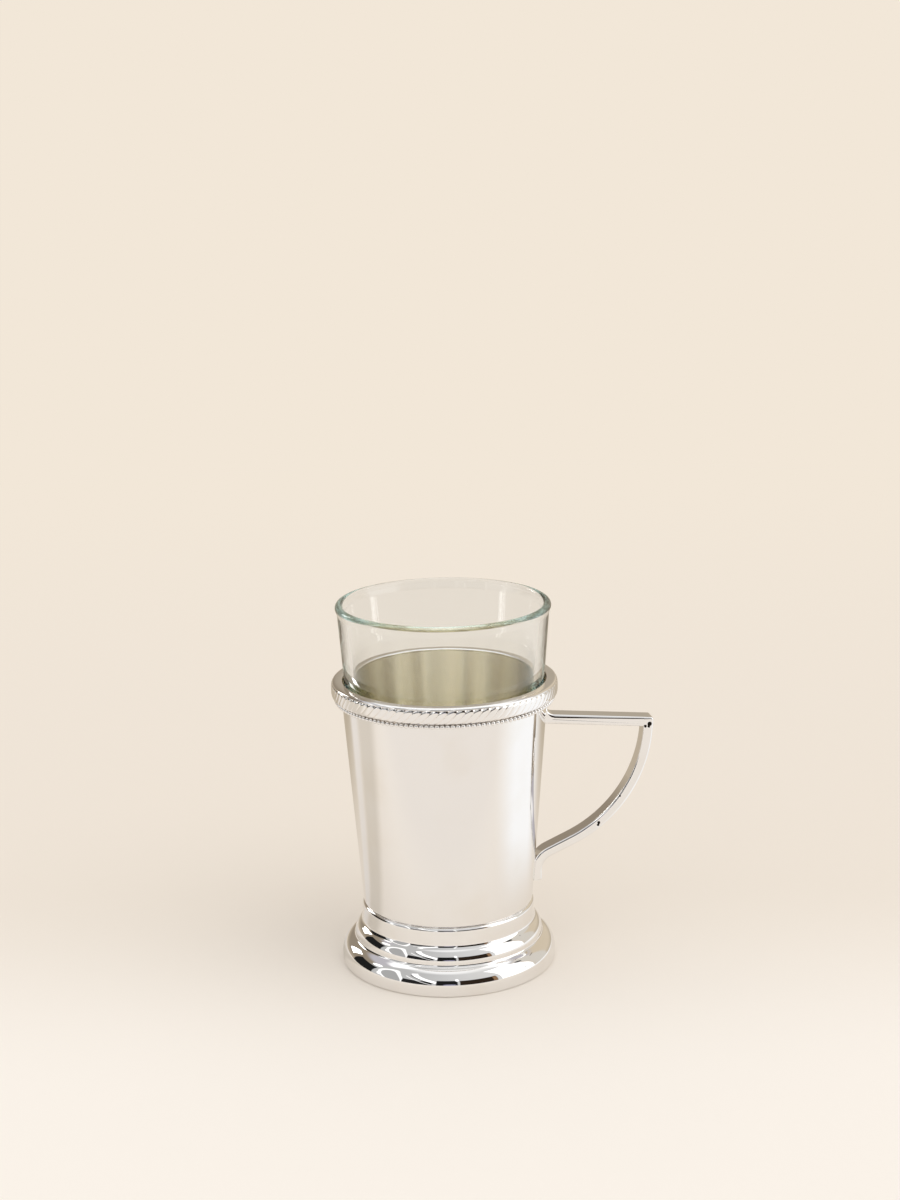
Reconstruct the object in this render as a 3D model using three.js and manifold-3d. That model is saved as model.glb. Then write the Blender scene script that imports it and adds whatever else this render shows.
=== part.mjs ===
// Tea glass holder: a polished cup on a stepped foot, with a bar handle, a gadroon
// and bead collar, and the glass tumbler that stands loose in it.
// Millimetres, +Z up, origin on the table at the cup's axis, handle along +X.
import * as THREE from 'three';
import { mergeVertices } from 'three/addons/utils/BufferGeometryUtils.js';
import Module from 'manifold-3d';

// Cup, a drawn cone of sheet with its floor
const rimHeight = 90;
const cupTopRadius = 31.6;
const cupFootRadius = 26.2;
const cupWall = 0.7;
const cupFloor = 0.8;
const cupCornerRadius = 0.8;

// Collar: crowned flange, gadroon band and bead wire, each reaching out from the cup's edge
const flangeReach = 2.4;
const flangeThickness = 0.8;
const flangeEdgeBreak = 0.2;
const gadroonReach = 2.8;
const gadroonHeight = 4;
const gadroonPitch = 2.57;
const gadroonDepth = 0.55;
const gadroonLean = 1.7;
const gadroonSweep = 0.7;
const gadroonEdgeRound = 0.9;
const beadReach = 2;
const beadDiameter = 1.5;
const beadPitch = 1.55;
const beadNeck = 0.5;
const beadBackShare = 0.7;

// Foot, spun from sheet in three steps, each wider than the one above it
const footHeight = 19.1;
const footWall = 0.9;
const shelfWidth = 10.2;
const shoulderRadius = 1.1;
const bandStep = 0.4;
const upperRingStep = 2.5;
const upperCoveRadius = 2;
const upperRingRadius = 4.6;
const middleLipHeight = 0.2;
const lowerRingStep = 4.05;
const lowerCoveRadius = 1;
const lowerRingRadius = 5.6;
const footLipHeight = 2.6;
const footLipRound = 0.45;
const footLeastRound = 0.1;
const baseDiscThickness = 1;

// Glass tumbler
const glassHeight = 93.4;
const glassClearance = 0.6;
const glassWall = 2.3;
const glassBase = 5;
const glassRimSwell = 0.35;
const glassRimRound = 1.25;
const glassHeelRound = 1.5;
const glassInnerRound = 3;
const glassPuntDepth = 0.6;
const glassSeatWidth = 4;

// Handle, a cast bar of rectangular section, bent at a corner, a knee and a tail
const handleDrop = 13.1;
const handleReach = 34;
const handleFall = THREE.MathUtils.degToRad(5);
const barThickness = 3;
const barWidth = 5.9;
const barEdgeRound = 0.6;
const rootFillet = 2.5;
const cornerRound = 0.8;
const armRadius = 42.8;
const armEndSlope = THREE.MathUtils.degToRad(24.7);
const tailRise = 4;
const tailHeight = 6.4;
const tailFillet = 5;
const tailTrim = 0.6;

// Clearance between neighbours that aren't flat on each other
const seatGap = 0.3;

// How finely round forms are stepped
const roundSegments = 48;
const columnsPerGadroon = 3;
const columnsPerBead = 3;
const crownSteps = 6;
const armSteps = 14;
const filletSteps = 5;
const smallRoundSteps = 3;
const rimSteps = 7;

// Sizes that follow from those above
const cupEdge = rimHeight - flangeThickness;
const cupTaper = (cupTopRadius - cupFootRadius) / (cupEdge - footHeight);
const bandRadius = cupFootRadius + bandStep;
const middleEdgeRadius = bandRadius + upperRingStep;
const footRadius = middleEdgeRadius + lowerRingStep;
const handleTop = rimHeight - handleDrop;
const tailBottom = footHeight + tailRise;

// Outside radius of the cup at a height, and inside radius for what stands in it
const cupRadiusAt = (z) => cupFootRadius + cupTaper * (z - footHeight);
const cupBoreAt = (z) => cupRadiusAt(z) - cupWall;

// Points on a circle about (x, y), from one angle to another in radians, both ends included
function arc(x, y, radius, from, to, steps) {
  const points = [];
  for (let i = 0; i <= steps; i += 1) {
    const angle = from + ((to - from) * i) / steps;
    points.push(new THREE.Vector2(x + radius * Math.cos(angle), y + radius * Math.sin(angle)));
  }
  return points;
}

const point = (x, y) => new THREE.Vector2(x, y);

// A profile of (radius, height) points, anticlockwise about its material, turned about +Z
function turned(profile) {
  return new THREE.LatheGeometry(profile, roundSegments).rotateX(Math.PI / 2);
}

// A closed section of (radius, height) points turned about +Z, back to its first point
function turnedRing(section) {
  return turned([...section, section[0]]);
}

// A ring of the given number of columns. sectionAt(column) gives that column's closed
// section, as [radius, height, angle] points in the same number and order every time.
function ringOfSections(columns, sectionAt) {
  const positions = [];
  const indices = [];
  let count = 0;
  for (let column = 0; column < columns; column += 1) {
    const section = sectionAt(column);
    count = section.length;
    for (const [radius, height, angle] of section) {
      positions.push(radius * Math.cos(angle), radius * Math.sin(angle), height);
    }
  }
  for (let column = 0; column < columns; column += 1) {
    const next = (column + 1) % columns;
    for (let i = 0; i < count; i += 1) {
      const j = (i + 1) % count;
      const a = column * count + i;
      const b = next * count + i;
      const c = next * count + j;
      const d = column * count + j;
      indices.push(a, b, c, a, c, d);
    }
  }
  const geometry = new THREE.BufferGeometry();
  geometry.setAttribute('position', new THREE.Float32BufferAttribute(positions, 3));
  geometry.setIndex(indices);
  return geometry;
}

const polishedSilver = () =>
  new THREE.MeshStandardMaterial({ color: 0xd9d5cf, roughness: 0.08, metalness: 1 });

function piece(name, geometry, material) {
  geometry.computeVertexNormals();
  const mesh = new THREE.Mesh(geometry, material);
  mesh.name = name;
  return mesh;
}

// Cup: flat floor, small corner, straight conical wall, open top
function cupBody() {
  const cornerHeight = footHeight + cupCornerRadius;
  const cornerCentre = cupRadiusAt(cornerHeight) - cupCornerRadius;
  const floorTop = footHeight + cupFloor;
  const profile = [
    point(0, footHeight),
    ...arc(cornerCentre, cornerHeight, cupCornerRadius, -Math.PI / 2, 0, smallRoundSteps),
    point(cupTopRadius, cupEdge),
    point(cupTopRadius - cupWall, cupEdge),
    point(cupBoreAt(floorTop), floorTop),
    point(0, floorTop),
  ];
  return piece('cup_body', turned(profile), polishedSilver());
}

// Flange: ring on the cup's edge, flush with the bore and flat below. Its top is a quarter
// of an ellipse, level at the bore and falling ever faster to the outer edge.
function rimFlange() {
  const bore = cupTopRadius - cupWall;
  const crownStart = bore + flangeEdgeBreak;
  const crownWidth = cupTopRadius + flangeReach - crownStart;
  const crown = arc(0, 0, 1, 0, Math.PI / 2, crownSteps).map(({ x, y }) =>
    point(crownStart + crownWidth * x, cupEdge + flangeThickness * y),
  );
  const section = [point(bore, cupEdge), ...crown, point(bore, rimHeight - flangeEdgeBreak)];
  return piece('rim_flange', turnedRing(section), polishedSilver());
}

// Gadroon band: convex lobes that lean, with the columns of faces following the grooves.
// The radius is full on each crest and falls to the groove by the square root of a sine.
// Each groove sweeps in flat from its foot and then stands up, by a power of the height.
function gadroonBand() {
  const crestRadius = cupTopRadius + gadroonReach;
  const count = Math.round((2 * Math.PI * crestRadius) / gadroonPitch);
  const columns = count * columnsPerGadroon;
  const pitch = (2 * Math.PI) / count;
  const bottom = cupEdge - gadroonHeight;
  const round = gadroonEdgeRound;
  // Up the lobe's face: its height, how far the rounded end draws it in, and how full it is
  const face = [
    { height: bottom, inset: round, swell: 0.5 },
    { height: bottom + round * 0.5, inset: round * 0.2, swell: 0.9 },
    { height: bottom + round * 1.4, inset: 0, swell: 1 },
    { height: cupEdge - round * 0.6, inset: round * 0.15, swell: 0.9 },
    { height: cupEdge, inset: round, swell: 0.5 },
  ];
  const geometry = ringOfSections(columns, (column) => {
    const angle = (column * pitch) / columnsPerGadroon;
    const lean = (height) =>
      gadroonLean * pitch * ((height - bottom) / gadroonHeight) ** gadroonSweep;
    const crest = Math.sqrt(Math.sin((Math.PI * (column % columnsPerGadroon)) / columnsPerGadroon));
    const section = face.map(({ height, inset, swell }) => [
      crestRadius - inset - gadroonDepth * swell * (1 - crest),
      height,
      angle + lean(height),
    ]);
    section.push([cupRadiusAt(cupEdge) + seatGap, cupEdge, angle]);
    section.push([cupRadiusAt(bottom) + seatGap, bottom, angle]);
    return section;
  });
  return piece('gadroon_band', geometry, polishedSilver());
}

// Bead wire: round beads joined by a narrow neck, on a flat back against the cup
function beadWire() {
  const outerRadius = cupTopRadius + beadReach;
  const count = Math.round((2 * Math.PI * outerRadius) / beadPitch);
  const columns = count * columnsPerBead;
  const beadRound = beadDiameter / 2;
  const centreRadius = outerRadius - beadRound;
  const centreHeight = cupEdge - gadroonHeight - seatGap - beadRound;
  const backHalf = beadRound * beadBackShare;
  const capAngle = THREE.MathUtils.degToRad(70);
  const capOut = Math.cos(capAngle);
  const capUp = Math.sin(capAngle);
  const geometry = ringOfSections(columns, (column) => {
    const angle = (column * 2 * Math.PI) / columns;
    const along = (column % columnsPerBead) / columnsPerBead;
    const swell = Math.max(beadNeck, Math.sqrt(1 - (2 * Math.abs(0.5 - along)) ** 2));
    const reach = beadRound * swell;
    return [
      [cupRadiusAt(centreHeight - backHalf) + seatGap, centreHeight - backHalf, angle],
      [centreRadius + reach * capOut, centreHeight - reach * capUp, angle],
      [centreRadius + reach, centreHeight, angle],
      [centreRadius + reach * capOut, centreHeight + reach * capUp, angle],
      [cupRadiusAt(centreHeight + backHalf) + seatGap, centreHeight + backHalf, angle],
    ];
  });
  return piece('bead_wire', geometry, polishedSilver());
}

// A cove against an upright wall, tangent to a convex ring below it: the cove's centre and
// the elevation at which the two arcs meet
function coveOver(wallRadius, coveRadius, ringCentre, ringRadius) {
  const across = wallRadius + coveRadius - ringCentre.x;
  const reach = coveRadius + ringRadius;
  const rise = Math.sqrt(reach * reach - across * across);
  return {
    centre: point(wallRadius + coveRadius, ringCentre.y + rise),
    elevation: Math.atan2(rise, across),
  };
}

// The foot's outline from the shelf to the lip, moved inwards by an offset. The lower ring
// stands on the lip, and the upper ring stands on the lower ring's cove.
function footOutline(offset, steps) {
  const lowerRing = point(footRadius - lowerRingRadius, footLipHeight);
  const lowerCove = coveOver(middleEdgeRadius, lowerCoveRadius, lowerRing, lowerRingRadius);
  const middleEdgeHeight = lowerCove.centre.y + middleLipHeight;
  const upperRing = point(middleEdgeRadius - upperRingRadius, middleEdgeHeight);
  const upperCove = coveOver(bandRadius, upperCoveRadius, upperRing, upperRingRadius);
  const shoulder = point(bandRadius - shoulderRadius, footHeight - shoulderRadius);
  const shoulderRound = Math.max(shoulderRadius - offset, footLeastRound);
  const outline = [
    ...arc(shoulder.x, shoulder.y, shoulderRound, Math.PI / 2, 0, Math.ceil(steps / 2)),
  ];
  for (const [cove, coveRound, ring, ringRound] of [
    [upperCove, upperCoveRadius, upperRing, upperRingRadius],
    [lowerCove, lowerCoveRadius, lowerRing, lowerRingRadius],
  ]) {
    const { centre, elevation } = cove;
    const coveSteps = Math.ceil(steps / 2);
    const across = coveRound + offset;
    outline.push(...arc(centre.x, centre.y, across, Math.PI, Math.PI + elevation, coveSteps));
    outline.push(...arc(ring.x, ring.y, ringRound - offset, elevation, 0, steps).slice(1));
  }
  return outline;
}

// Foot: sheet of one thickness, open below, with a hole in the shelf under the cup
function footShell() {
  const holeRadius = cupFootRadius - shelfWidth;
  const outer = footOutline(0, 4);
  const inner = footOutline(footWall, 2);
  const section = [
    point(holeRadius, footHeight),
    ...outer,
    ...arc(footRadius - footLipRound, footLipRound, footLipRound, 0, -Math.PI / 2, 2),
    point(footRadius - footWall, 0),
    ...inner.reverse(),
    point(holeRadius, footHeight - footWall),
  ];
  return piece('foot_shell', turnedRing(section.reverse()), polishedSilver());
}

// Base disc: flat plate pressed into the foot's edge, flush with it
function baseDisc() {
  const radius = footRadius - footWall - seatGap;
  const profile = [
    point(0, 0),
    point(radius, 0),
    point(radius, baseDiscThickness),
    point(0, baseDiscThickness),
  ];
  const material = new THREE.MeshStandardMaterial({ color: 0xc9c5be, roughness: 0.3, metalness: 1 });
  return piece('base_disc', turned(profile), material);
}

// Glass: shallow hollow under the base, heel, straight cone, round rim, thick bottom
function teaGlass() {
  const seat = footHeight + cupFloor + seatGap;
  const radiusAt = (z) => cupBoreAt(seat + z) - glassClearance;
  const rimUnderside = -Math.PI / 6;
  const heel = radiusAt(glassHeelRound);
  const rimRadius = radiusAt(glassHeight) + glassRimSwell;
  const rimCentre = point(rimRadius - glassRimRound, glassHeight - glassRimRound);
  const neckHeight = rimCentre.y - glassRimRound;
  const innerAt = (z) => radiusAt(z) - glassWall;
  const innerCorner = glassBase + glassInnerRound;
  const bowlCentre = innerAt(innerCorner) - glassInnerRound;
  const profile = [
    point(0, glassPuntDepth),
    point(heel - glassHeelRound - glassSeatWidth, 0),
    ...arc(heel - glassHeelRound, glassHeelRound, glassHeelRound, -Math.PI / 2, 0, smallRoundSteps),
    point(radiusAt(neckHeight), neckHeight),
    ...arc(rimCentre.x, rimCentre.y, glassRimRound, rimUnderside, Math.PI, rimSteps),
    point(innerAt(neckHeight), neckHeight),
    ...arc(bowlCentre, innerCorner, glassInnerRound, 0, -Math.PI / 2, smallRoundSteps),
    point(0, glassBase),
  ];
  const material = new THREE.MeshStandardMaterial({
    color: 0xe4eae4,
    roughness: 0.02,
    metalness: 0,
    transparent: true,
    opacity: 0.35,
  });
  const glass = piece('tea_glass', turned(profile), material);
  glass.position.z = seat;
  return glass;
}

// Where the handle's long lines run, in the (radius, height) plane through the handle. The
// knee is where the line down from the corner would meet the line up from the tail.
function handleLines() {
  const along = point(Math.cos(handleFall), -Math.sin(handleFall));
  const down = point(-Math.sin(handleFall), -Math.cos(handleFall));
  const at = (start, direction, length) => start.clone().addScaledVector(direction, length);
  const root = point(cupRadiusAt(handleTop) + seatGap, handleTop);
  const corner = at(root, along, (handleReach - seatGap) / along.x);
  const tailFace = cupRadiusAt(tailBottom) + seatGap + barThickness - tailTrim;
  const tailTop = point(tailFace, tailBottom + tailHeight);
  const slope = Math.tan(armEndSlope);
  const fall = corner.y - tailTop.y - (corner.x - tailFace) * slope;
  const kneeDrop = fall / (slope * down.x - down.y);
  const knee = at(corner, down, kneeDrop);
  return { along, down, at, root, corner, knee, kneeDrop, tailFace, tailTop };
}

// The handle's outline: bar, corner, arm, tail fillet and tail, out along the outer side
// and back along the inner one. Both ends run into the cup, to be trimmed to its wall. The
// arm's arc is no larger than its two straight sides leave room for.
function handleOutline() {
  const { along, down, at, root, corner, knee, kneeDrop, tailFace, tailTop } = handleLines();
  const filletReach = tailFillet * Math.tan(Math.PI / 4 - armEndSlope / 2);
  const filletCentre = point(tailFace + tailFillet, tailTop.y - filletReach);
  const halfBend = Math.tan((Math.PI / 2 - armEndSlope - handleFall) / 2);
  const sideAbove = kneeDrop - cornerRound;
  const sideBelow = knee.distanceTo(tailTop) - filletReach;
  const armRound = Math.min(armRadius, Math.min(sideAbove, sideBelow) / halfBend);
  const armCentre = at(at(knee, down, -armRound * halfBend), along, -armRound);
  const arm = (radius) =>
    arc(armCentre.x, armCentre.y, radius, -handleFall, armEndSlope - Math.PI / 2, armSteps);
  const fillet = (radius) =>
    arc(filletCentre.x, filletCentre.y, radius, Math.PI / 2 + armEndSlope, Math.PI, filletSteps);

  const rootUp = point(cupTaper, 1).normalize();
  const rootCentre = at(at(root, along, rootFillet), rootUp, rootFillet);
  const rootTop = at(root, rootUp, rootFillet);
  const cornerCentre = at(at(corner, down, cornerRound), along, -cornerRound);
  const innerCorner = at(at(corner, down, barThickness), along, -barThickness);
  const barUnder = at(root, down, barThickness);
  const tailCentre = point(tailFace - cornerRound, tailBottom + cornerRound);
  const rootEnd = 1.5 * Math.PI - handleFall;
  const cornerTop = Math.PI / 2 - handleFall;
  const inCup = 2;
  return [
    point(rootTop.x - inCup, rootTop.y),
    ...arc(rootCentre.x, rootCentre.y, rootFillet, Math.PI, rootEnd, filletSteps),
    ...arc(cornerCentre.x, cornerCentre.y, cornerRound, cornerTop, -handleFall, smallRoundSteps),
    ...arm(armRound),
    ...fillet(tailFillet),
    ...arc(tailCentre.x, tailCentre.y, cornerRound, 0, -Math.PI / 2, smallRoundSteps),
    point(tailFace - barThickness - inCup, tailBottom),
    point(tailFace - barThickness - inCup, filletCentre.y),
    ...fillet(tailFillet + barThickness).reverse(),
    ...arm(armRound - barThickness).reverse(),
    innerCorner,
    at(barUnder, along, -inCup),
  ];
}

const wasm = await Module();
wasm.setup();

// A boolean solid of a geometry, with the corners that its faces share made one
const mergeDistance = 1e-4;

function solidOf(geometry) {
  const bare = geometry.clone();
  bare.deleteAttribute('normal');
  bare.deleteAttribute('uv');
  const merged = mergeVertices(bare, mergeDistance);
  return new wasm.Manifold(
    new wasm.Mesh({
      numProp: 3,
      vertProperties: merged.attributes.position.array,
      triVerts: new Uint32Array(merged.index.array),
    }),
  );
}

function geometryOf(solid) {
  const mesh = solid.getMesh();
  const geometry = new THREE.BufferGeometry();
  geometry.setAttribute('position', new THREE.BufferAttribute(mesh.vertProperties, 3));
  geometry.setIndex(new THREE.BufferAttribute(mesh.triVerts, 1));
  return geometry;
}

// Handle: the outline drawn as a bar with broken edges, both roots trimmed to the cup
function handle() {
  const shape = new THREE.Shape(handleOutline());
  const bar = new THREE.ExtrudeGeometry(shape, {
    depth: barWidth - 2 * barEdgeRound,
    bevelThickness: barEdgeRound,
    bevelSize: barEdgeRound,
    bevelOffset: -barEdgeRound,
    bevelSegments: 2,
  });
  bar.translate(0, 0, barEdgeRound - barWidth / 2);
  bar.rotateX(Math.PI / 2);
  const cupSpace = turned([
    point(0, 0),
    point(cupRadiusAt(0) + seatGap, 0),
    point(cupRadiusAt(rimHeight) + seatGap, rimHeight),
    point(0, rimHeight),
  ]);
  const trimmed = solidOf(bar).subtract(solidOf(cupSpace));
  return piece('handle', geometryOf(trimmed), polishedSilver());
}

const holder = new THREE.Group();
holder.add(footShell(), baseDisc(), cupBody(), beadWire(), gadroonBand(), rimFlange(), handle());

const teaGlassHolder = new THREE.Group();
teaGlassHolder.add(holder, teaGlass());

export default teaGlassHolder;
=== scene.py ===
import math

import bmesh
import bpy
import numpy as np
from mathutils import Matrix, Vector


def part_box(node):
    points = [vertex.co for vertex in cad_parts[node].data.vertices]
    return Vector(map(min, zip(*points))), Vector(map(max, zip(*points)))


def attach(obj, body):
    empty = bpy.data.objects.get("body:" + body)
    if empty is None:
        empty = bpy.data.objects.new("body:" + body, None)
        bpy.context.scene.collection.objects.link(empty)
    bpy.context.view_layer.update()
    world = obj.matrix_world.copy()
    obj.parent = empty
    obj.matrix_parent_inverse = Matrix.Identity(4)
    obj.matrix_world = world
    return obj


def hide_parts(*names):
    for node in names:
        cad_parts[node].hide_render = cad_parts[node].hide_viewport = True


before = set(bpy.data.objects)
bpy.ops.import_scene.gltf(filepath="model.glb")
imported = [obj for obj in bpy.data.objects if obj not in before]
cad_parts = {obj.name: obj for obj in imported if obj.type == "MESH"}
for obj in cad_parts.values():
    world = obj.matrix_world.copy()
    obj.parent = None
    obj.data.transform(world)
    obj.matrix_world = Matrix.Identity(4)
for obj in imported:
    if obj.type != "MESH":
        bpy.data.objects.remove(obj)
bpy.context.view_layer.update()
MM = 0.001

# Foot: sheet spun over a former into three steps, each wider than the one above it, and
# polished to a mirror. The cup is soldered flat on the shelf at its top.
foot_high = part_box("foot_shell")[1]
foot_radius = foot_high.x
foot_height = foot_high.z
foot_wall = 0.9 * MM
cup_foot_radius = 26.2 * MM
shelf_width = 10.2 * MM
shelf_hole_radius = cup_foot_radius - shelf_width
shoulder_radius = 1.1 * MM
band_step = 0.4 * MM
band_radius = cup_foot_radius + band_step
upper_cove_radius = 2 * MM
upper_ring_radius = 4.6 * MM
upper_ring_step = 2.5 * MM
middle_edge_radius = band_radius + upper_ring_step
middle_lip_height = 0.2 * MM
lower_cove_radius = 1 * MM
lower_ring_radius = 5.6 * MM
foot_lip_height = 2.6 * MM
foot_lip_round = 0.45 * MM
foot_least_round = 0.1 * MM
round_columns = 288
support = 0.15 * MM


def arc(centre, radius, start, end, steps):
    """Points on a circle about centre, at equal angles from start to end in degrees."""
    angle = np.radians(np.linspace(start, end, steps + 1))
    return np.stack([centre[0] + radius * np.cos(angle), centre[1] + radius * np.sin(angle)], 1)


def held(profile):
    """The same line of points, with one more close to each end of every long straight
    stretch, so that the shading of a flat stretch stays flat right up to its ends."""
    start, end = profile[:-1], profile[1:]
    length = np.linalg.norm(end - start, axis=1, keepdims=True)
    step = (end - start) / np.maximum(length, support) * support
    points = np.stack([start, start + step, end - step], 1)
    long = length[:, 0] > 5 * support
    kept = np.stack([np.ones_like(long), long, long], 1)
    return np.concatenate([points[kept], profile[-1:]])


def surface(name, grid, loop=False, row_materials=None, relief=None, sharp=35):
    """A mesh over a grid of points [row, column]. Every row closes on itself, and the last
    row joins the first where loop is set. A row that shrinks to a point becomes a pole."""
    rows, columns = grid.shape[:2]
    spans = rows if loop else rows - 1
    row, column = np.meshgrid(np.arange(spans), np.arange(columns), indexing="ij")
    below, beside = (row + 1) % rows, (column + 1) % columns
    corners = [row * columns + column, row * columns + beside]
    corners += [below * columns + beside, below * columns + column]
    faces = np.stack(corners, -1).reshape(-1, 4)
    mesh = bpy.data.meshes.new(name)
    mesh.from_pydata(grid.reshape(-1, 3).tolist(), [], faces.tolist())
    if row_materials is not None:
        mesh.polygons.foreach_set("material_index", np.repeat(row_materials, columns))
    if relief is not None:
        attribute = mesh.attributes.new("relief", "FLOAT", "POINT")
        attribute.data.foreach_set("value", relief.astype(np.float32).ravel())
    shape = bmesh.new()
    shape.from_mesh(mesh)
    bmesh.ops.remove_doubles(shape, verts=shape.verts, dist=1e-7)
    bmesh.ops.recalc_face_normals(shape, faces=shape.faces)
    shape.to_mesh(mesh)
    shape.free()
    mesh.shade_smooth()
    mesh.set_sharp_from_angle(angle=math.radians(sharp))
    piece = bpy.data.objects.new(name, mesh)
    bpy.context.scene.collection.objects.link(piece)
    return piece


def turned(name, profile, loop=False, row_materials=None):
    """A profile of (radius, height) points turned about the upright axis: each point becomes
    (radius cos a, radius sin a, height) at equal angles a all the way round."""
    angle = np.linspace(0, 2 * np.pi, round_columns, endpoint=False)
    radius, height = profile[:, 0, None], profile[:, 1, None]
    grid = [radius * np.cos(angle), radius * np.sin(angle), height + 0 * angle]
    return surface(name, np.stack(grid, -1), loop, row_materials)


class Value:
    """One socket of a node tree. Ordinary operators on it add Math nodes to the tree, and
    add() puts in any other node."""

    def __init__(self, tree, socket=None):
        self.tree = tree
        self.socket = socket

    def add(self, kind, settings=None, inputs=None, output=0):
        """A new node: its settings come first, then the numbers, colours or links of its
        sockets. It gives the chosen output."""
        node = self.tree.nodes.new(kind)
        for name, setting in (settings or {}).items():
            setattr(node, name, setting)
        for name, value in (inputs or {}).items():
            if isinstance(value, Value):
                self.tree.links.new(value.socket, node.inputs[name])
            else:
                node.inputs[name].default_value = value
        return Value(self.tree, node.outputs[output])

    def math(self, operation, *others):
        """A Math node on this value, and on the other operands after it."""
        operands = dict(enumerate((self, *others)))
        return self.add("ShaderNodeMath", {"operation": operation}, operands)

    def __add__(self, other):
        return self.math("ADD", other)

    def __sub__(self, other):
        return self.math("SUBTRACT", other)

    def __rsub__(self, other):
        return self * -1.0 + other

    def __mul__(self, other):
        return self.math("MULTIPLY", other)

    def __truediv__(self, other):
        return self.math("DIVIDE", other)

    __radd__ = __add__
    __rmul__ = __mul__

    def step(self, low, high):
        """0 up to low and 1 from high on, with a soft rise between them."""
        ends = {"Value": self, "From Min": low, "From Max": high}
        return self.add("ShaderNodeMapRange", {"interpolation_type": "SMOOTHSTEP"}, ends)

    def between(self, low, high, soft):
        """1 between low and high, falling to 0 within soft outside them."""
        return self.step(low - soft, low) * (1 - self.step(high, high + soft))

    def mix(self, first, second):
        """The first colour where this is 0, and the second where it is 1."""
        inputs = {0: self, 6: first, 7: second}
        return self.add("ShaderNodeMix", {"data_type": "RGBA"}, inputs, 2)

    def axes(self):
        """The three numbers of this vector."""
        node = self.add("ShaderNodeSeparateXYZ", {}, {"Vector": self}).socket.node
        return [Value(self.tree, output) for output in node.outputs]

    def vector(self, x, y, z):
        """A vector of three numbers or values."""
        return self.add("ShaderNodeCombineXYZ", {}, {"X": x, "Y": y, "Z": z})

    def measure(self, operation, other=(0.0, 0.0, 0.0)):
        """One number from this vector and another, such as their distance."""
        inputs = {0: self, 1: other}
        return self.add("ShaderNodeVectorMath", {"operation": operation}, inputs, "Value")

    def noise(self, scale, detail):
        """Even cloud noise about 0.5, with scale patches in a metre and detail finer layers."""
        inputs = {"Vector": self, "Scale": scale, "Detail": detail}
        return self.add("ShaderNodeTexNoise", {}, inputs)


def colour(red, green, blue):
    """A full colour, as a socket takes it."""
    return (red, green, blue, 1.0)


def material_start(name):
    """A new material, and the Object coordinates that its patterns lie in."""
    material = bpy.data.materials.new(name)
    material.use_nodes = True
    material.node_tree.nodes.clear()
    return material, Value(material.node_tree).add("ShaderNodeTexCoord", output="Object")


def material_end(material, place, inputs, height, depth, volume=None):
    """Closes a material with its shader. height, from 0 to 1, raises the surface by depth."""
    bump = place.add("ShaderNodeBump", {}, {"Height": height, "Distance": depth, "Strength": 1.0})
    shader = place.add("ShaderNodeBsdfPrincipled", {}, {**inputs, "Normal": bump})
    ends = {"Surface": shader} if volume is None else {"Surface": shader, "Volume": volume}
    output = place.tree.nodes.new("ShaderNodeOutputMaterial")
    for name, value in ends.items():
        place.tree.links.new(value.socket, output.inputs[name])
    return material


def around_axis(place):
    """Radius and height of a place about the upright axis, and its direction from it."""
    x, y, z = place.axes()
    radius = (x * x + y * y).math("SQRT")
    return radius, z, x / radius, y / radius


silver_bright = colour(0.885, 0.875, 0.865)
silver_tarnish = colour(0.84, 0.81, 0.765)
silver_roughness = 0.02
silver_haze = 0.05
silver_wave_height = 0.006 * MM


def polished_silver(name):
    """Bright silver plate: faint warm tarnish in clouds, a breath of polishing haze in fine
    specks and rings, and the slight waviness that buffing leaves."""
    material, place = material_start(name)
    cloud = place.noise(60.0, 3.0).step(0.45, 0.75)
    radius, height, *_ = around_axis(place)
    rings = place.vector(radius, height, 0.0).noise(1800.0, 3.0).step(0.5, 0.8)
    specks = place.noise(4000.0, 1.0).step(0.6, 0.8)
    inputs = {
        "Metallic": 1.0,
        "Base Color": (cloud * 0.5).mix(silver_bright, silver_tarnish),
        "Roughness": silver_roughness + silver_haze * (rings * 0.5 + specks * 0.5),
    }
    return material_end(material, place, inputs, place.noise(150.0, 1.0), silver_wave_height)


def cove_over(wall, cove, ring_centre, ring):
    """A cove tangent to an upright wall and to the convex ring below it: the cove's centre,
    and the elevation in degrees at which the two circles touch."""
    across = wall + cove - ring_centre[0]
    rise = math.sqrt((cove + ring) ** 2 - across ** 2)
    return (wall + cove, ring_centre[1] + rise), math.degrees(math.atan2(rise, across))


def foot_outline(offset, steps):
    """The foot's outline from its shelf to its lip, moved inwards by offset: a shoulder, then
    for each ring a cove turning from the wall's foot and the ring's quarter circle."""
    lower_ring = (foot_radius - lower_ring_radius, foot_lip_height)
    lower_cove, lower_rise = cove_over(
        middle_edge_radius, lower_cove_radius, lower_ring, lower_ring_radius
    )
    upper_ring = (middle_edge_radius - upper_ring_radius, lower_cove[1] + middle_lip_height)
    upper_cove, upper_rise = cove_over(
        band_radius, upper_cove_radius, upper_ring, upper_ring_radius
    )
    shoulder = (band_radius - shoulder_radius, foot_height - shoulder_radius)
    return np.concatenate([
        arc(shoulder, max(shoulder_radius - offset, foot_least_round), 90, 0, steps),
        arc(upper_cove, upper_cove_radius + offset, 180, 180 + upper_rise, steps),
        arc(upper_ring, upper_ring_radius - offset, upper_rise, 0, 2 * steps)[1:],
        arc(lower_cove, lower_cove_radius + offset, 180, 180 + lower_rise, steps),
        arc(lower_ring, lower_ring_radius - offset, lower_rise, 0, 2 * steps)[1:],
    ])


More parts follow.
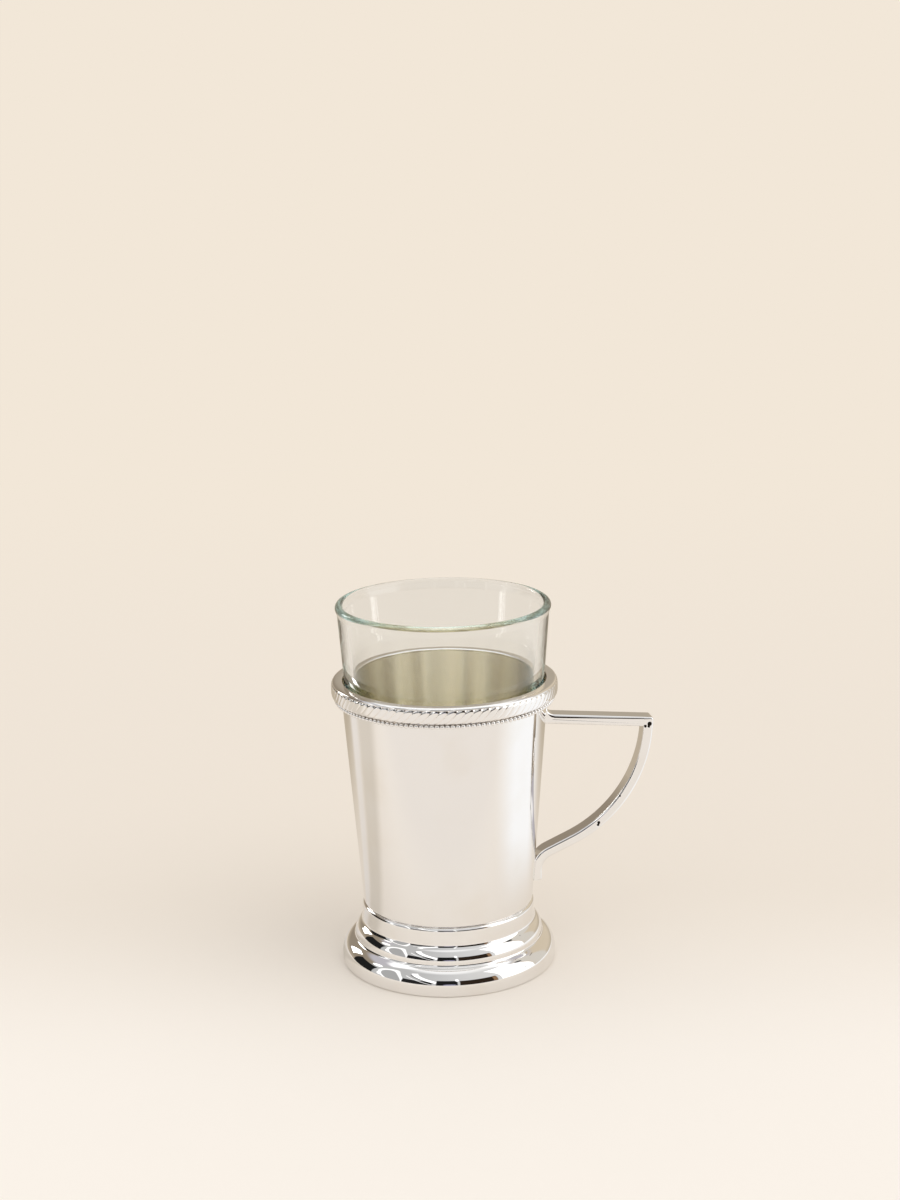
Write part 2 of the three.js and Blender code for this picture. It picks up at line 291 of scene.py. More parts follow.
# The profile runs down the outside, round the lip, and back up inside by the wall's thickness.
lip_centre = (foot_radius - foot_lip_round, foot_lip_round)
foot_profile = np.concatenate([
    [(shelf_hole_radius, foot_height)],
    foot_outline(0.0, 14),
    arc(lip_centre, foot_lip_round, 0, -90, 8),
    [(foot_radius - foot_wall, 0.0)],
    foot_outline(foot_wall, 6)[::-1],
    [(shelf_hole_radius, foot_height - foot_wall)],
])
foot = turned("stepped_foot", held(foot_profile), loop=True)
foot.data.materials.append(polished_silver("foot_silver"))
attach(foot, "holder")
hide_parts("foot_shell")

# Base plate: flat disc of the same metal pressed into the foot's edge and left as turned,
# with fine rings round its middle. It can only be seen with the holder lifted.
plate_low, plate_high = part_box("base_disc")
plate_radius = plate_high.x
plate_edge = 0.15 * MM
ring_spacing = 0.35 * MM


def turned_satin(name):
    """Plate as it comes off the lathe: even rings of fine grooves, greyer and duller
    than the polished foot, with a few darker patches."""
    material, place = material_start(name)
    radius, *_ = around_axis(place)
    ring = (radius * (2 * math.pi / ring_spacing)).math("SINE")
    patch = place.noise(70.0, 4.0).step(0.4, 0.7)
    inputs = {
        "Metallic": 1.0,
        "Base Color": patch.mix(colour(0.78, 0.76, 0.73), colour(0.66, 0.63, 0.58)),
        "Roughness": 0.24 + 0.1 * patch + 0.03 * ring,
    }
    return material_end(material, place, inputs, ring * 0.5 + 0.5, 6e-6)


plate_profile = np.concatenate([
    [(0.0, plate_low.z)],
    arc((plate_radius - plate_edge, plate_low.z + plate_edge), plate_edge, -90, 0, 4),
    arc((plate_radius - plate_edge, plate_high.z - plate_edge), plate_edge, 0, 90, 4),
    [(0.0, plate_high.z)],
])
plate = turned("base_plate", held(plate_profile))
plate.data.materials.append(turned_satin("plate_satin"))
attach(plate, "holder")
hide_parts("base_disc")

# Cup: one drawn cone of sheet with its floor, a mirror outside and satin inside, where
# only a brush reached. It stands on the foot's shelf, and carries the collar at its edge.
cup_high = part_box("cup_body")[1]
cup_top_radius = cup_high.x
cup_edge = cup_high.z
cup_wall = 0.7 * MM
cup_floor = 0.8 * MM
cup_corner_radius = 0.8 * MM
cup_taper = (cup_top_radius - cup_foot_radius) / (cup_edge - foot_height)
painted_khaki_reflection = colour(0.95, 0.905, 0.80)
painted_khaki_shade = colour(0.76, 0.71, 0.60)
painted_highlight_colour = colour(1.0, 0.985, 0.94)
degree = 180 / math.pi
# Each strip of painted highlight: from and to in degrees from the handle's side, its soft edge
# and its strength
painted_highlight_strips = [(92.5, 94, 6, 0.95), (71, 73, 6, 0.8), (58, 59, 5, 0.5)]
near_wall_painted_light = 0.85


def cup_radius_at(height):
    """The cup's outside radius, which grows evenly from its floor to its edge."""
    return cup_foot_radius + cup_taper * (height - foot_height)


def brushed_satin(name):
    """Inside of the cup: brushed round and round, so that light spreads up and down in
    upright streaks. The far wall is painted a khaki reflection with random streaks and upright
    strips of painted highlight, and painted shade at its two sides, and the near wall is
    painted lighter all over."""
    material, place = material_start(name)
    _, height, east, north = around_axis(place)
    angle = (north.math("ARCTAN2", east) * degree).math("ABSOLUTE")
    streak = place.vector(east * 9, north * 9, height * 5).noise(1.0, 4.0).step(0.3, 0.7)
    streaks_and_highlights = 0.3 * (streak - 0.3)
    # Upright strips of painted highlight on the far wall's painted khaki reflection
    for start, end, soft, strength in painted_highlight_strips:
        streaks_and_highlights = streaks_and_highlights + strength * angle.between(start, end, soft)
    # The near wall is painted lighter all over, and the far wall's two sides get painted shade
    far_wall = north.step(-0.1, 0.1)
    streaks_and_highlights = near_wall_painted_light * (1 - far_wall) + streaks_and_highlights * far_wall
    painted_side_shade = ((1 - angle.step(14, 44)) + angle.step(126, 156)) * far_wall
    hair = place.vector(east * 0.3, north * 0.3, height * 5000.0).noise(1.0, 2.0)
    inputs = {
        "Metallic": 1.0,
        "Base Color": painted_side_shade.mix(streaks_and_highlights.mix(painted_khaki_reflection, painted_highlight_colour), painted_khaki_shade),
        "Roughness": 0.18 + 0.05 * streak - 0.11 * streaks_and_highlights,
        "Anisotropic": 0.9,
        "Anisotropic Rotation": 0.25,
    }
    return material_end(material, place, inputs, hair, 1e-5)


# The outside runs from the axis up to the edge, and the inside from the edge back to it.
cup_corner = cup_radius_at(foot_height + cup_corner_radius) - cup_corner_radius
inner_floor = foot_height + cup_floor
cup_outside = np.concatenate([
    [(0.0, foot_height)],
    arc((cup_corner, foot_height + cup_corner_radius), cup_corner_radius, -90, 0, 8),
    [(cup_top_radius, cup_edge), (cup_top_radius - cup_wall, cup_edge)],
])
cup_inside = np.array([
    (cup_top_radius - cup_wall, cup_edge),
    (cup_radius_at(inner_floor) - cup_wall, inner_floor),
    (0.0, inner_floor),
])
outside, inside = held(cup_outside), held(cup_inside)
cup_materials = np.repeat([0, 1], [len(outside) - 1, len(inside) - 1])
cup = turned("tapered_cup", np.concatenate([outside, inside[1:]]), row_materials=cup_materials)
cup.data.materials.append(polished_silver("cup_silver"))
cup.data.materials.append(brushed_satin("cup_satin"))
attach(cup, "holder")
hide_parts("cup_body")

# Bead wire: a drawn wire of round beads joined by thin necks, soldered round the cup just
# below the gadroons. The beads are bright, and the necks are painted dark as shade.
band_low, band_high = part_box("gadroon_band")
bead_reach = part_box("bead_wire")[1].y
bead_diameter = 1.5 * MM
bead_pitch = 1.55 * MM
bead_neck = 0.35
bead_turn = 125
bead_columns = 8
bead_rows = 9
bead_drop = 0.3 * MM
bead_height = band_low.z - bead_drop - bead_diameter / 2
back_sink = 0.1 * MM


def chased_silver(name, hollow, hollow_end):
    """Silver worked in relief: crests burnished bright and smooth, hollows rougher and painted
    in the darker colour given, which on the bead wire stands for shade between the beads.
    The relief runs from 0 in a groove to 1 on a crest, and the hollow's colour fades out at
    hollow_end."""
    material, place = material_start(name)
    relief = place.add("ShaderNodeAttribute", {"attribute_name": "relief"}, output="Fac")
    crest = (relief + 0.1 * place.noise(900.0, 2.0)).step(0.05, hollow_end)
    inputs = {
        "Metallic": 1.0,
        "Base Color": crest.mix(hollow, silver_bright),
        "Roughness": 0.30 - 0.25 * crest,
    }
    return material_end(material, place, inputs, place.noise(700.0, 2.0), 8e-6)


def ring_of_sections(name, radius, height, angle, relief):
    """Closed sections set side by side round the axis: the grid's rows go round, its columns
    go along each section, and a point is (radius cos a, radius sin a, height)."""
    grid = np.stack([radius * np.cos(angle), radius * np.sin(angle), height + 0 * angle], -1)
    return surface(name, grid, loop=True, relief=relief, sharp=50)


# Along the wire the section swells and shrinks as a half circle over each bead, but never
# below the neck. Across it, each section is that circle's front, closed by the cup's wall.
bead_count = round(2 * math.pi * bead_reach / bead_pitch)
span = (1 - np.cos(np.pi * np.arange(bead_columns) / bead_columns)) / 2
swell = np.maximum(bead_neck, np.sqrt(1 - (2 * span - 1) ** 2))
swell = np.tile(swell, bead_count)[:, None]
bead_angle = (np.arange(bead_count)[:, None] + span).reshape(-1, 1) * 2 * np.pi / bead_count
turn = np.radians(np.linspace(-bead_turn, bead_turn, bead_rows))
bead_round = bead_diameter / 2
bead_face = bead_reach - bead_round + bead_round * swell * np.cos(turn)
bead_level = bead_height + bead_round * swell * np.sin(turn)
bead_back = cup_radius_at(bead_level[:, [-1, 0]]) - back_sink
beads = ring_of_sections(
    "bead_border",
    np.concatenate([bead_face, bead_back], 1),
    np.concatenate([bead_level, bead_level[:, [-1, 0]]], 1),
    bead_angle + np.zeros(bead_rows + 2),
    np.concatenate([(swell - bead_neck) / (1 - bead_neck) + 0 * turn, 0 * bead_back], 1),
)
# The necks are painted near black, as shade between the beads
beads.data.materials.append(chased_silver("bead_silver", colour(0.22, 0.18, 0.14), 0.42))
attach(beads, "holder")
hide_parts("bead_wire")

# Gadroon band: a cast ring of leaning convex lobes, soldered round the cup's edge under
# the flange. Each lobe sweeps in from its foot and then stands up, like a comma.
lobe_pitch = 2.57 * MM
lobe_depth = 0.095 * MM
lobe_end_depth = 0.5 * MM
lobe_end = 0.14
lobe_round = 0.9 * MM
lobe_lean = 1.7
lobe_sweep = 0.7
lobe_columns = 16
lobe_rows = 21
lobe_square = 0.6
lobe_flatness = 3.2
lobe_foot_turn = -88
lobe_top_turn = 46

# Up a lobe the section is a superellipse of power lobe_square, from lobe_foot_turn to
# lobe_top_turn. Across it the surface falls from its crest by a power of the distance from
# the lobe's middle. At both tips that power comes down to 2, a plain arc, and the groove
# gets deeper. The lobe leans as a power of its height.
crest_radius = band_high.y
lobe_count = round(2 * math.pi * crest_radius / lobe_pitch)
across = np.arange(lobe_columns) / lobe_columns
rise = np.radians(np.linspace(lobe_foot_turn, lobe_top_turn, lobe_rows))
level = np.sign(np.sin(rise)) * np.abs(np.sin(rise)) ** lobe_square
level = (level - level[0]) / (level[-1] - level[0])
fullness = np.cos(rise) ** lobe_square
dome = np.clip((np.abs(level - 0.5) - 0.5 + lobe_end) / lobe_end, 0, 1)
flatness = lobe_flatness + (2 - lobe_flatness) * dome
depth = lobe_depth + (lobe_end_depth - lobe_depth) * dome
crown = 1 - np.abs(2 * across[:, None] - 1) ** flatness
crown = np.tile(crown, (lobe_count, 1))
lobe_angle = (np.arange(lobe_count)[:, None] + across).reshape(-1, 1)
lobe_radius = crest_radius - lobe_round * (1 - fullness) - depth * fullness * (1 - crown)
lobe_height = band_low.z + (band_high.z - band_low.z) * level
shift = lobe_lean * level ** lobe_sweep
back_level = np.array([1.0, 0.0])
back_height = np.array([band_high.z, band_low.z])
back_radius = cup_radius_at(back_height) - back_sink
gadroons = ring_of_sections(
    "gadroon_border",
    np.concatenate([lobe_radius, back_radius + 0 * lobe_angle], 1),
    np.concatenate([lobe_height, back_height])[None, :] + 0 * lobe_angle,
    (lobe_angle + np.concatenate([shift, 0 * back_level])) * 2 * np.pi / lobe_count,
    np.concatenate([crown * fullness ** 0.1, 0 * back_radius + 0 * lobe_angle], 1),
)
gadroons.data.materials.append(chased_silver("gadroon_silver", colour(0.80, 0.71, 0.60), 0.3))
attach(gadroons, "holder")
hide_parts("gadroon_band")

# Flange: a ring of plate soldered flat on the cup's edge and over the gadroons, filed flush
# with the bore, and crowned on top so that it rounds over to its outer edge.
flange_low, flange_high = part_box("rim_flange")
flange_reach = flange_high.y
flange_bore = cup_top_radius - cup_wall
bore_break = 0.35 * MM
crown_squareness = 0.6
flange_thickness = flange_high.z - flange_low.z

# The crown is a superellipse: radius and height go as the sine and cosine of an angle,
# both to the power crown_squareness.
crown_angle = np.linspace(0, np.pi / 2, 25)
crown_start = flange_bore + bore_break
flange_profile = np.concatenate([
    [(flange_bore, flange_low.z)],
    np.stack([
        crown_start + (flange_reach - crown_start) * np.sin(crown_angle) ** crown_squareness,
        flange_low.z + flange_thickness * np.maximum(np.cos(crown_angle), 0) ** crown_squareness,
    ], 1)[::-1],
    arc((crown_start, flange_high.z - bore_break), bore_break, 90, 180, 5)[1:],
])
flange = turned("rim_flange_ring", held(flange_profile), loop=True)
flange.data.materials.append(polished_silver("flange_silver"))
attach(flange, "holder")
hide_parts("rim_flange")

# Handle: one cast bar of oblong section with its edges broken, bent at a corner, swept
# down in a long bow and turned down into a tail. Both ends are soldered to the cup.
handle_top = 76.9 * MM
handle_fall = math.radians(5)
handle_reach = 34 * MM
bar_thickness = 3 * MM
bar_width = 5.9 * MM
bar_edge = 0.55 * MM
bar_face_edge = 0.75 * MM
bar_root_edge = 1.4 * MM
root_edge_end = 41 * MM
root_edge_fade = 5 * MM
least_edge = 0.02 * MM
root_fillet = 2.5 * MM
root_steps = 10
corner_round = 0.8 * MM
arm_radius = 42.8 * MM
arm_end_slope = 24.7
tail_rise = 4 * MM
tail_bottom = foot_height + tail_rise
tail_height = 6.4 * MM
tail_fillet = 5 * MM
tail_trim = 0.6 * MM
seat_gap = 0.3 * MM
sunk = 0.3 * MM
end_round = 0.5 * MM

bar_along = np.array([math.cos(handle_fall), -math.sin(handle_fall)])
bar_down = np.array([-math.sin(handle_fall), -math.cos(handle_fall)])
fall_degrees = math.degrees(handle_fall)


def straight(start, end):
    """The two ends of a straight stretch, and a point close to each of them."""
    step = (end - start) / np.linalg.norm(end - start) * support
    return np.array([start, start + step, end - step, end])


def handle_sides():
    """The bar's outer and inner line, point by point across from each other: root, top bar,
    corner, bow, knee and tail. The bow's arc is tangent to the straight stretches that
    leave the corner and the tail, so its centre lies off the knee where they would meet."""
    root = np.array([cup_radius_at(handle_top) + seat_gap, handle_top])
    corner = root + bar_along * (handle_reach - seat_gap) / bar_along[0]
    tail_face = cup_radius_at(tail_bottom) + seat_gap + bar_thickness - tail_trim
    tail_top = np.array([tail_face, tail_bottom + tail_height])
    slope = math.tan(math.radians(arm_end_slope))
    fall = corner[1] - tail_top[1] - (corner[0] - tail_face) * slope
    knee = corner + bar_down * fall / (slope * bar_down[0] - bar_down[1])
    turn = 90 - arm_end_slope - fall_degrees
    arm_start = knee - bar_down * arm_radius * math.tan(math.radians(turn / 2))
    arm_centre = arm_start - bar_along * arm_radius
    inner_corner = corner + (bar_down - bar_along) * bar_thickness
    corner_centre = corner + (bar_down - bar_along) * corner_round

    root_up = np.array([cup_taper, 1]) / math.hypot(cup_taper, 1)
    fillet_centre = root + bar_along * root_fillet + root_up * root_fillet
    outer = arc(fillet_centre, root_fillet, 180, 270 - fall_degrees, root_steps)
    distance = (outer - root) @ bar_along
    inner = root + bar_down * bar_thickness + distance[:, None] * bar_along
    outer[0, 0] = cup_radius_at(outer[0, 1]) - sunk
    inner[0, 0] = cup_radius_at(inner[0, 1]) - sunk
    sides = [(outer, inner)]

    bar_end = inner_corner - bar_down * bar_thickness
    top = straight(outer[-1], bar_end)[1:]
    sides.append((top, top + bar_down * bar_thickness))
    bend = arc(corner_centre, corner_round, 90 - fall_degrees, -fall_degrees, 6)
    sides.append((bend, inner_corner + 0 * bend))
    arm_top = inner_corner + bar_along * bar_thickness
    upright = straight(arm_top, arm_start)[:-1]
    sides.append((upright, upright - bar_along * bar_thickness))
    depths = (0, bar_thickness)
    bow = (-fall_degrees, arm_end_slope - 90, 48)
    sides.append(tuple(arc(arm_centre, arm_radius - depth, *bow) for depth in depths))
    reach = tail_fillet * math.tan(math.radians(45 - arm_end_slope / 2))
    knee_centre = np.array([tail_face + tail_fillet, tail_top[1] - reach])
    fillet = (90 + arm_end_slope, 180, 12)
    sides.append(tuple(arc(knee_centre, tail_fillet + depth, *fillet) for depth in depths))
    tail = straight(sides[-1][0][-1], np.array([tail_face, tail_bottom + end_round]))[1:]
    sides.append((tail, tail - [bar_thickness, 0]))
    outer, inner = (np.concatenate(side) for side in zip(*sides))
    wall = cup_radius_at(inner[root_steps + 1:, 1]) - sunk
    inner[root_steps + 1:, 0] = np.maximum(inner[root_steps + 1:, 0], wall)
    return outer, inner


# The tail ends in a quarter round: the section goes on down as the sine of an angle, and
# draws in on all four sides as one less its cosine.
outer_side, inner_side = handle_sides()
cap = np.radians(np.linspace(0, 90, 6))[1:]
drop = end_round * np.sin(cap)[:, None] * [0.0, -1.0]
outer_side = np.concatenate([outer_side, outer_side[-1] + drop])
inner_side = np.concatenate([inner_side, inner_side[-1] + drop])
middle = (outer_side + inner_side) / 2
half = np.linalg.norm(outer_side - inner_side, axis=1) / 2
toward = (outer_side - inner_side) / (2 * half[:, None])
inset = np.zeros(len(half))
inset[-len(cap):] = end_round * (1 - np.cos(cap))

# Each section is an oblong with a quarter ellipse at every corner, and one point close to
# both ends of each quarter. The quarters reach further over the face near the root.
quarter = np.concatenate([[0], np.linspace(0, 90, 7), [90]])
slide = np.concatenate([[-1], np.zeros(7), [1]]) * support
edge_angle = np.radians(quarter[None, :] + 90 * np.arange(4)[:, None])
slide = np.tile(slide, 4)
side_x = np.repeat([1, -1, -1, 1], len(quarter))
side_y = np.repeat([1, 1, -1, -1], len(quarter))
cosine, sine = np.cos(edge_angle).ravel(), np.sin(edge_angle).ravel()
thick = (half - inset)[:, None]
wide = (bar_width / 2 - inset)[:, None]
edge = np.maximum(bar_edge - inset, least_edge)[:, None]
on_top_bar = middle[:, 1] > handle_top - 2 * bar_thickness
near_root = 1 - np.clip((middle[:, 0] - root_edge_end) / root_edge_fade, 0, 1)
face_edge = bar_face_edge + (bar_root_edge - bar_face_edge) * near_root * on_top_bar
face_edge = np.maximum(face_edge - inset, least_edge)[:, None]
offset = side_x * (thick - face_edge) + face_edge * cosine - slide * sine
sideways = side_y * (wide - edge) + edge * sine + slide * cosine
spot = middle[:, None, :] + toward[:, None, :] * offset[:, :, None]
handle_grid = np.stack([spot[..., 0], sideways, spot[..., 1]], -1)
ends = handle_grid.mean(1, keepdims=True) + 0 * handle_grid
handle_grid = np.concatenate([ends[:1], handle_grid, ends[-1:]])
# Each pit: its place on the front face, across and up, and its radius, all in millimetres
pits = [
    ((63.2, 72.0), 0.75),
    ((63.0, 71.3), 0.5),
    ((61.9, 71.35), 0.5),
    ((47.2, 40.9), 0.55),
    ((47.0, 40.2), 0.5),
    ((53.9, 49.2), 0.35),
]


def cast_silver(name):
    """Polished casting: the same bright plate, with the few small pits that the casting
    left in its front face."""
    material, place = material_start(name)
    cloud = place.noise(60.0, 3.0).step(0.45, 0.75)
    specks = place.noise(3000.0, 1.0).step(0.6, 0.8)
    front = 1 - place.axes()[1].step(-2.6 * MM, -2.3 * MM)
    ragged = 0.4 * MM * (place.noise(1500.0, 2.0) - 0.5)
    hollow = 0.0
    for (x, z), size in pits:
        away = place.measure("DISTANCE", (x * MM, -bar_width / 2, z * MM)) + ragged
        hollow = hollow + (1 - away.step(0.75 * size * MM, size * MM))
    hollow = (hollow * front).step(0.0, 0.8)
    skin = (cloud * 0.5).mix(silver_bright, silver_tarnish)
    inputs = {
        "Metallic": 1.0,
        "Base Color": hollow.mix(skin, colour(0.02, 0.016, 0.012)),
        "Roughness": silver_roughness + silver_haze * specks + 0.4 * hollow,
    }
    return material_end(material, place, inputs, 1 - hollow, 2e-4)


handle = surface("bar_handle", handle_grid)
handle.data.materials.append(cast_silver("handle_silver"))
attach(handle, "holder")
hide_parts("handle")

# Glass: a pressed tumbler with a fire-polished rim, whose wall thickens down to its heavy
# foot. It stands loose in the cup, on the cup's floor, and lifts straight out.
glass_low, glass_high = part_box("tea_glass")
glass_height = glass_high.z - glass_low.z
glass_clearance = 0.6 * MM
glass_wall = 2.3 * MM
glass_wall_growth = 2.2 * MM
glass_base = 5 * MM
glass_rim_swell = 0.35 * MM
glass_rim_round = 1.25 * MM
glass_heel_round = 1.5 * MM
glass_inner_round = 3 * MM
glass_punt_depth = 0.6 * MM
glass_seat_width = 4 * MM


def glass_radius_at(level):
    """The tumbler's outside radius at a level above its own foot: the cup's bore, less the
    clearance between them."""
    return cup_radius_at(glass_low.z + level) - cup_wall - glass_clearance


def clear_glass(name):
    """Clear soda glass with a slight green body, and faint waves from the mould."""
    material, place = material_start(name)
    wave = place.noise(110.0, 1.0)
    inputs = {
        "Base Color": wave.mix(colour(1.0, 1.0, 1.0), colour(0.985, 0.99, 0.985)),
        "Roughness": 0.0,
        "IOR": 1.5,
        "Transmission Weight": 1.0,
    }
    body = {"Color": colour(0.42, 0.72, 0.62), "Density": 2.6}
    volume = place.add("ShaderNodeVolumeAbsorption", {}, body)
    return material_end(material, place, inputs, wave, 2.5e-5, volume)


# The profile runs from the axis out under the foot, up the outside, round the rim and down
# the inside. The rim bulges outwards as a circle, from just above its neck.
heel = glass_radius_at(glass_heel_round)
rim_centre = (
    glass_radius_at(glass_height) + glass_rim_swell - glass_rim_round,
    glass_height - glass_rim_round,
)
rim_neck = rim_centre[1] - 1.5 * glass_rim_round
bowl_corner = glass_base + glass_inner_round
bowl_radius = glass_radius_at(bowl_corner) - glass_wall - glass_wall_growth - glass_inner_round
glass_profile = np.concatenate([
    [(0.0, glass_punt_depth), (heel - glass_heel_round - glass_seat_width, 0.0)],
    arc((heel - glass_heel_round, glass_heel_round), glass_heel_round, -90, 0, 10),
    [(glass_radius_at(rim_neck), rim_neck)],
    arc(rim_centre, glass_rim_round, -20, 180, 24),
    [(glass_radius_at(rim_neck) - glass_wall, rim_neck)],
    arc((bowl_radius, bowl_corner), glass_inner_round, 0, -90, 12),
    [(0.0, glass_base)],
])
glass_profile[:, 1] += glass_low.z
glass = turned("glass_tumbler", held(glass_profile))
glass.data.materials.append(clear_glass("tumbler_glass"))
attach(glass, "glass")
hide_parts("tea_glass")

# Table: a plain cream floor with no end, a little lighter towards the viewer. It takes light
# and shade near the holder, and keeps only its colour further out, so that no horizon shows.
# Silver sees it with painted shade and painted light on it, and the glass sees it with painted
# shade behind the holder and painted strips of window light.
view_turn = math.radians(-8)
viewer_side = Vector((math.sin(view_turn), -math.cos(view_turn), 0.0))
viewer_right = Vector((math.cos(view_turn), math.sin(view_turn), 0.0))
cream_far = colour(0.888, 0.799, 0.686)
cream_middle = colour(0.868, 0.782, 0.682)
cream_near = colour(0.972, 0.903, 0.822)
cream_seen_through = colour(0.78, 0.71, 0.62)
mirrored_far_shade = colour(0.54, 0.46, 0.355)
mirrored_near_light = colour(0.925, 0.862, 0.795)
mirrored_shade = colour(0.75, 0.68, 0.59)
mirrored_light = colour(0.88, 0.82, 0.76)
# Each strip of window light: from and to in degrees of bearing, and its soft edge
window_strips = [(92.8, 96.0, 1.0), (88.3, 89.4, 0.7), (-76.0, -73.0, 1.0), (-79.8, -78.8, 0.7)]
window_strength = 4.0
floor_size = 40.0


def grey(level):
    """Light or paint with no hue, at a level where 1 is white."""
    return colour(level, level, level)


def ray_kinds(place):
    """Three masks: rays that come off silver, rays that have passed through glass, and rays
    straight from the camera."""
    node = place.add("ShaderNodeLightPath").socket.node
    kinds = {output.name: Value(place.tree, output) for output in node.outputs}
    off_silver = kinds["Is Glossy Ray"] * kinds["Is Reflection Ray"]
    return off_silver, kinds["Is Transmission Ray"], kinds["Is Camera Ray"]


# Places on the table are in metres from the holder, towards the viewer or outwards, and
# bearings are in degrees from the viewer's side towards the handle.
material, place = material_start("table_cream")
from_axis = place.measure("LENGTH")
nearness = place.measure("DOT_PRODUCT", viewer_side)
bearing = place.measure("DOT_PRODUCT", viewer_right).math("ARCTAN2", nearness) * degree
paper = nearness.step(-0.9, -0.2).mix(cream_far, cream_middle)
paper = nearness.step(-0.06, 0.09).mix(paper, cream_near)
plain = from_axis.step(0.3, 1.5).mix(paper, cream_far)

# Only silver sees these tones: painted shade on the floor behind the holder, painted light in
# front of it, a painted pool of light to the right, and painted bands of shade and light to the
# left
mirrored = (1 - nearness.step(-0.22, -0.03)).mix(paper, mirrored_far_shade)
mirrored = nearness.step(0.05, 0.12).mix(mirrored, mirrored_near_light)
painted_light_pool = bearing.between(86, 108, 34) * from_axis.step(0.05, 0.12)
mirrored = painted_light_pool.mix(mirrored, grey(1.08))
mirrored = bearing.between(-104, -92, 14).mix(mirrored, mirrored_shade)
mirrored = bearing.between(-123, -117, 10).mix(mirrored, mirrored_light)

strips = 0.0
for start, end, soft in window_strips:
    strips = strips + bearing.between(start, end, soft)
strips = strips * from_axis.step(0.4, 0.5) * (1 - from_axis.step(1.4, 1.7))
# Through glass the floor behind the holder is painted darker as shade, under strips of painted
# window light
through = (1 - nearness.step(-0.25, 0.0)).mix(paper, cream_seen_through)
through = strips.mix(through, grey(window_strength))

off_silver, through_glass, _ = ray_kinds(place)
shown = off_silver.mix(plain, mirrored)
shown = through_glass.mix(shown, through)
lit = place.add("ShaderNodeBsdfDiffuse", {}, {"Color": shown})
glow = place.add("ShaderNodeEmission", {}, {"Color": shown, "Strength": 1.0})
blend = place.add("ShaderNodeMixShader", {}, {0: from_axis.step(0.25, 0.9), 1: lit, 2: glow})
output = place.tree.nodes.new("ShaderNodeOutputMaterial")
place.tree.links.new(blend.socket, output.inputs["Surface"])
corners = np.array([(-1, -1, 0), (1, -1, 0), (1, 1, 0), (-1, 1, 0)]) * floor_size
mesh = bpy.data.meshes.new("table_top")
mesh.from_pydata(corners.tolist(), [], [(0, 1, 2, 3)])
mesh.materials.append(material)
table = bpy.data.objects.new("table_top", mesh)
bpy.context.scene.collection.objects.link(table)

# Studio light: even light from all round, and one broad lamp at the right that throws the
# soft shadow to the left. What the silver mirrors is a plain room of cards and blinds.
ambient = 0.88
sun_share = 0.12
sun_height = 56
sun_side = 60
sun_spread = 50
sky_through_glass = 1.2
wall_left = colour(0.32, 0.267, 0.205)
wall_middle = colour(0.46, 0.40, 0.32)
wall_right = colour(0.72, 0.62, 0.48)
wall_top = colour(0.56, 0.54, 0.58)

sun_data = bpy.data.lights.new("broad_lamp", "SUN")
sun_data.energy = sun_share * math.pi / math.sin(math.radians(sun_height))
sun_data.angle = math.radians(sun_spread)
sun = bpy.data.objects.new("broad_lamp", sun_data)
bpy.context.scene.collection.objects.link(sun)
sun_turn = Matrix.Rotation(view_turn + math.radians(sun_side), 4, "Z")
sun.matrix_world = sun_turn @ Matrix.Rotation(math.radians(90 - sun_height), 4, "X")
sun.visible_glossy = False
sun.visible_transmission = False

world = bpy.data.worlds.new("studio")
bpy.context.scene.world = world
world.use_nodes = True
world.node_tree.nodes.clear()
way = Value(world.node_tree).add("ShaderNodeTexCoord", output="Generated")
rightness = way.measure("DOT_PRODUCT", viewer_right)
azimuth = rightness.math("ARCTAN2", way.measure("DOT_PRODUCT", viewer_side)) * degree
elevation = way.axes()[2].math("ARCSINE") * degree


def card(azimuth_at, elevation_at, width, height, lean=0.0, soft=1.5, oval=False):
    """1 inside a card of that width and height in degrees, turned by lean about its middle,
    and 0 outside. The azimuth is counted from the viewer's side towards the handle."""
    cosine, sine = math.cos(math.radians(lean)), math.sin(math.radians(lean))
    east, north = azimuth - azimuth_at, elevation - elevation_at
    across = (east * cosine + north * sine) * (2 / width)
    upright = (north * cosine - east * sine) * (2 / height)
    if oval:
        away = across * across + upright * upright
        return 1 - away.step(1 - 2 * soft / width, 1 + 2 * soft / width)
    beyond_side = across.math("ABSOLUTE").step(1 - 2 * soft / width, 1)
    beyond_end = upright.math("ABSOLUTE").step(1 - 2 * soft / height, 1)
    return (1 - beyond_side) * (1 - beyond_end)


behind = azimuth.math("ABSOLUTE").step(92, 108)
room = azimuth.step(-70, 70).mix(grey(0.55), grey(0.78))
backdrop = rightness.step(-0.25, 0.0).mix(wall_left, wall_middle)
backdrop = rightness.step(0.14, 0.34).mix(backdrop, wall_right)
backdrop = elevation.step(-4, 12).mix(mirrored_far_shade, backdrop)
backdrop = elevation.step(36, 44).mix(backdrop, wall_top)
backdrop = elevation.step(52, 58).mix(backdrop, grey(1.3))
room = behind.mix(room, backdrop)
room = elevation.step(62, 78).mix(room, grey(1.05))

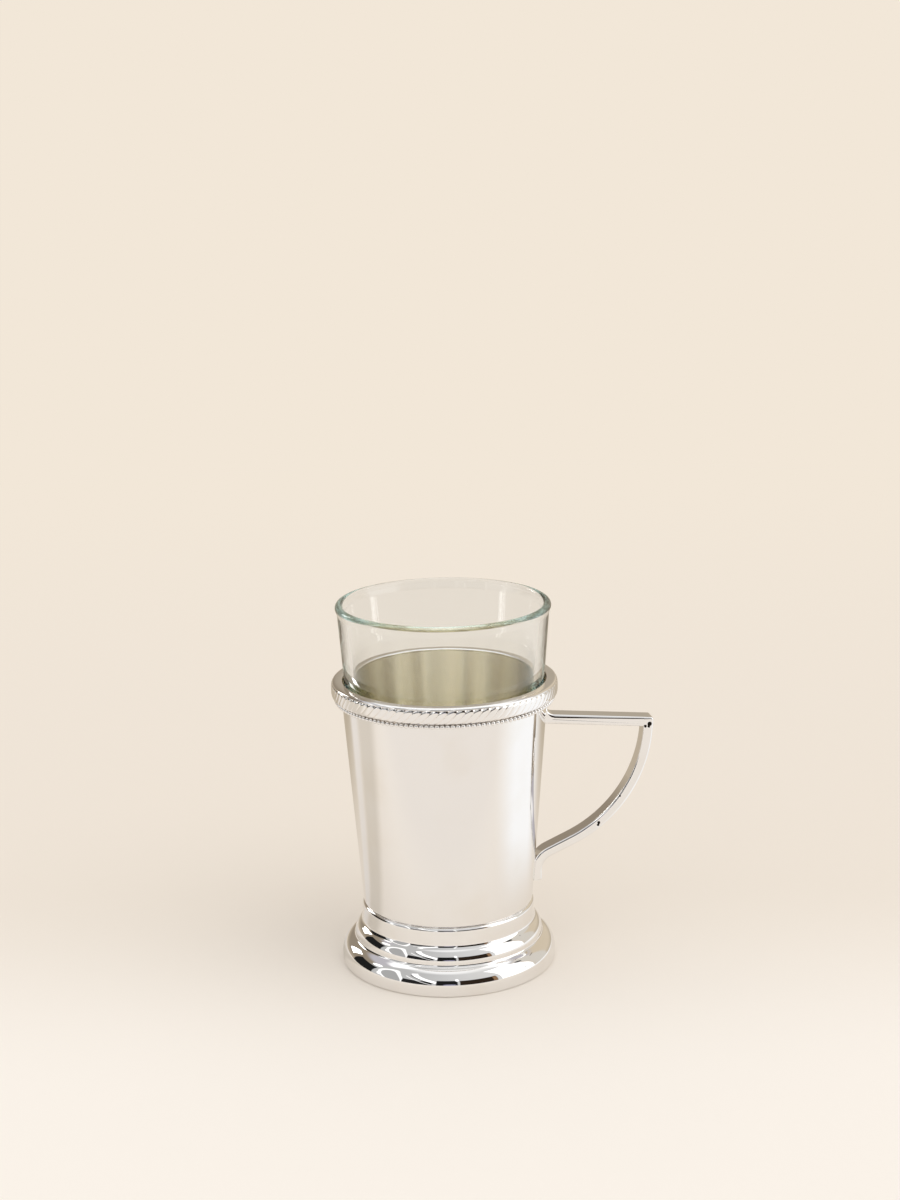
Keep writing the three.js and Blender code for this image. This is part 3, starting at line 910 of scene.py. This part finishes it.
# The cards, each with its own light. One hides what it covers of those before it.
cards = [
    (card(-134, 22, 13, 20), grey(5.0)),
    (card(-105, 14, 33, 30), grey(0.015)),
    (card(-99, 38, 14, 11, oval=True), grey(1.5)),
    (card(-79, 12, 8, 16, oval=True), grey(1.5)),
    (card(-68, 20, 30, 66, lean=22, oval=True), grey(1.3)),
    (card(-67, 17, 22, 54, lean=22, oval=True), grey(0.45)),
    (card(-35, 8, 34, 26), grey(0.02)),
    (card(-36, 20, 50, 3, lean=-46), grey(1.3)),
    (card(-34, 28, 50, 3, lean=-46), grey(0.03)),
    (card(-33, 35, 60, 9, lean=-46), grey(1.6)),
    (card(-3, 14, 24, 30), grey(0.015)),
    (card(0, 3, 14, 8, oval=True), colour(0.35, 0.34, 0.46)),
    (card(8, 31, 4, 14, oval=True), grey(1.6)),
    (card(31, 13, 42, 28), colour(0.03, 0.02, 0.014)),
    (card(49, 13, 6, 24), colour(0.30, 0.18, 0.10)),
    (card(114, 26, 30, 60, soft=6), colour(0.74, 0.70, 0.64)),
    (card(78, 30, 45, 62), grey(1.6)),
    (card(66, 34, 2, 30, lean=12), grey(0.6)),
    (card(90, 26, 2.5, 40, lean=-8), grey(0.6)),
    (card(107, 46, 8, 7, oval=True), grey(0.05)),
    (card(125, 37, 12, 2.5), grey(0.05)),
]
for mask, light in cards:
    room = mask.mix(room, light)

above = elevation.step(0, 20).mix(cream_seen_through, grey(sky_through_glass))
above = (behind * (1 - elevation.step(28, 40))).mix(above, backdrop)
off_silver, through_glass, from_camera = ray_kinds(way)
light = off_silver.mix(grey(ambient), room)
light = through_glass.mix(light, above)
light = from_camera.mix(light, cream_far)
sky = way.add("ShaderNodeBackground", {}, {"Color": light, "Strength": 1.0})
output = world.node_tree.nodes.new("ShaderNodeOutputWorld")
world.node_tree.links.new(sky.socket, output.inputs["Surface"])

# Camera: a long lens a little above the rim, looking down on the holder, which stands low
# in an upright picture.
camera_back = 584 * MM
camera_aside = 2.17 * MM
camera_height = 256 * MM
camera_pitch = math.radians(13.68)
camera_roll = math.radians(-1.02)
camera_data = bpy.data.cameras.new("viewer")
camera_data.lens = 60
camera_data.sensor_width = 36
camera = bpy.data.objects.new("viewer", camera_data)
bpy.context.scene.collection.objects.link(camera)
tilt = Matrix.Rotation(math.pi / 2 - camera_pitch, 4, "X") @ Matrix.Rotation(camera_roll, 4, "Z")
camera.matrix_world = Matrix.Rotation(view_turn, 4, "Z") @ (
    Matrix.Translation((camera_aside, -camera_back, camera_height)) @ tilt
)
bpy.context.scene.camera = camera
bpy.context.scene.view_settings.view_transform = "Standard"

# Light has to pass many walls of glass and silver before it comes back out of the cup.
bpy.context.scene.cycles.max_bounces = 120
bpy.context.scene.cycles.glossy_bounces = 60
bpy.context.scene.cycles.transmission_bounces = 120
